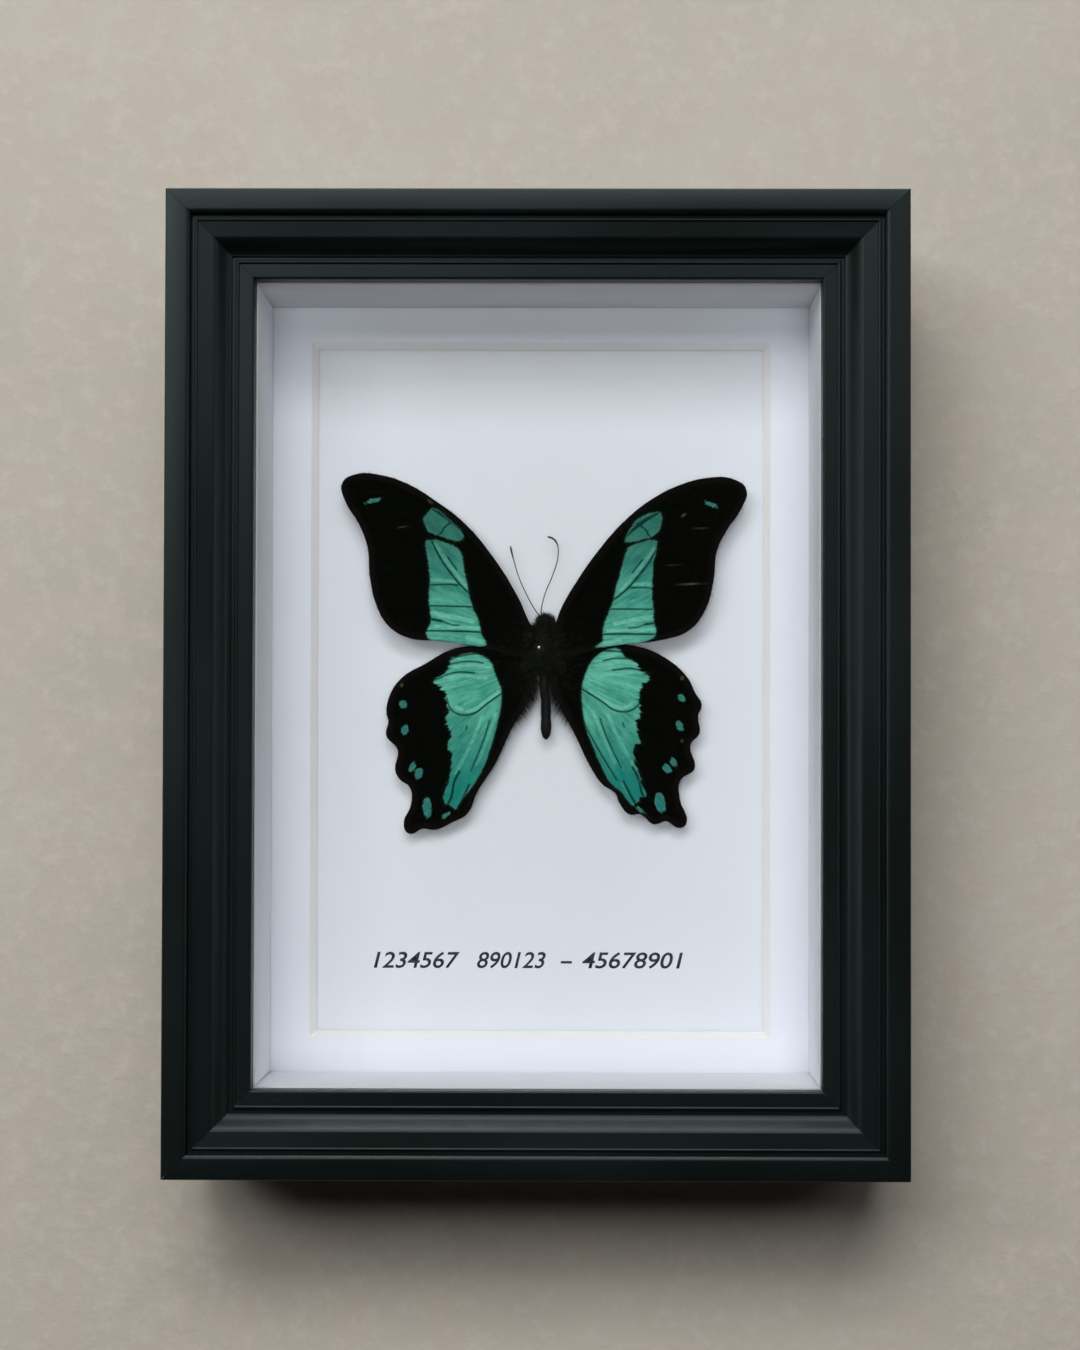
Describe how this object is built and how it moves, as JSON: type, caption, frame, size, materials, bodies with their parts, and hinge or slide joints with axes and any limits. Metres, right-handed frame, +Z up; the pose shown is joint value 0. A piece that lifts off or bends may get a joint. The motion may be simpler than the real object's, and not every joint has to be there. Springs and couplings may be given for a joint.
{
  "type": "framed butterfly specimen",
  "caption": "Spread butterfly with green-banded black wings, pinned on a white card behind a bevelled mat and glass in a deep dark wooden box frame that hangs on a wall.",
  "frame": {"origin": "the middle notch of the sawtooth hanger, where the wall nail bears, on the plane of the frame's back", "axes": "+X to the right as seen from the front, +Y back towards the wall, +Z up"},
  "size_m": [0.1556, 0.0421, 0.2066],
  "materials": {
    "painted_moulding": "satin green-black paint on a wood moulding",
    "float_glass": "clear float glass, 2 mm",
    "foam_board": "matt white paper facing",
    "mat_board": "matt white mat board with a white core",
    "mount_card": "matt white card",
    "hardboard": "brown pressed hardboard",
    "tab_steel": "bare spring steel",
    "brassed_steel": "brass-plated stamped steel",
    "insect_body": "dry chitin under black hair",
    "wing_scales": "black and green wing scales",
    "antenna_horn": "smooth dark chitin",
    "pin_steel": "bright steel wire"
  },
  "bodies": {
    "root": {"rail_top": "painted_moulding", "rail_bottom": "painted_moulding", "rail_left": "painted_moulding", "rail_right": "painted_moulding", "glass_pane": "float_glass", "spacer_top": "foam_board", "spacer_bottom": "foam_board", "spacer_left": "foam_board", "spacer_right": "foam_board", "window_mat": "mat_board", "mount_card": "mount_card", "backing_board": "hardboard", "tab_left_upper": "tab_steel", "tab_left_lower": "tab_steel", "tab_right_upper": "tab_steel", "tab_right_lower": "tab_steel", "tab_top": "tab_steel", "tab_bottom": "tab_steel", "hanger_plate": "brassed_steel", "hanger_nail_left": "brassed_steel", "hanger_nail_right": "brassed_steel", "butterfly_body": "insect_body", "forewing_left": "wing_scales", "forewing_right": "wing_scales", "hindwing_left": "wing_scales", "hindwing_right": "wing_scales", "antenna_left": "antenna_horn", "antenna_right": "antenna_horn", "insect_pin": "pin_steel"}
  },
  "joints": []
}
